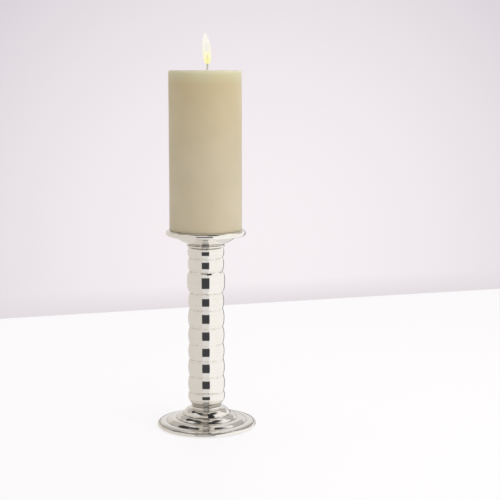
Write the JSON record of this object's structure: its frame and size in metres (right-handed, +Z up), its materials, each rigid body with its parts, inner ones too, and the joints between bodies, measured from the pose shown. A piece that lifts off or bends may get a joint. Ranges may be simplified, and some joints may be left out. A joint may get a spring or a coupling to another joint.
{
  "type": "pillar candle holder",
  "caption": "Tall silver candlestick with a ringed round foot, a rippled column and a rimmed flat pan that carries a thick ivory pillar candle on a hidden spike.",
  "frame": {"origin": "on the table, at the middle of the round foot", "axes": "+Z up along the column's axis; the shape is round, so +X and +Y are free"},
  "size_m": [0.0964, 0.0964, 0.3611],
  "materials": {
    "silver_plate": "mirror-polished silver plate, faintly warm, with fine turning lines",
    "turned_brass": "plain turned brass, unplated",
    "steel": "bright zinc-plated steel",
    "cast_iron": "rough grey casting",
    "black_felt": "dense pressed felt",
    "candle_wax": "smooth ivory wax with a soft sheen",
    "cotton_wick": "braided cotton, charred above the wax",
    "flame": "candle flame, glowing"
  },
  "bodies": {
    "holder": {"felt_pad": "black_felt", "foot_cover": "turned_brass", "foot_weight": "cast_iron", "foot_shell": "silver_plate", "foot_rim_wire": "steel", "tie_nut": "steel", "spring_washer": "steel", "tie_washer": "steel", "tie_rod": "steel", "foot_bead": "silver_plate", "foot_collar": "silver_plate", "column_lower_plug": "turned_brass", "column_tube": "silver_plate", "column_upper_plug": "turned_brass", "neck_collar": "silver_plate", "pan_support": "silver_plate", "pan_spacer": "turned_brass", "drip_pan": "silver_plate", "pan_rim_wire": "steel", "pricket_washer": "turned_brass", "pricket": "steel"},
    "candle": {"candle": "candle_wax", "wick": "cotton_wick"}
  },
  "joints": [
    {"name": "candle_lift", "type": "slide", "parent": "holder", "child": "candle", "axis": [0, 0, 1], "range_m": [0, 0.045]}
  ]
}
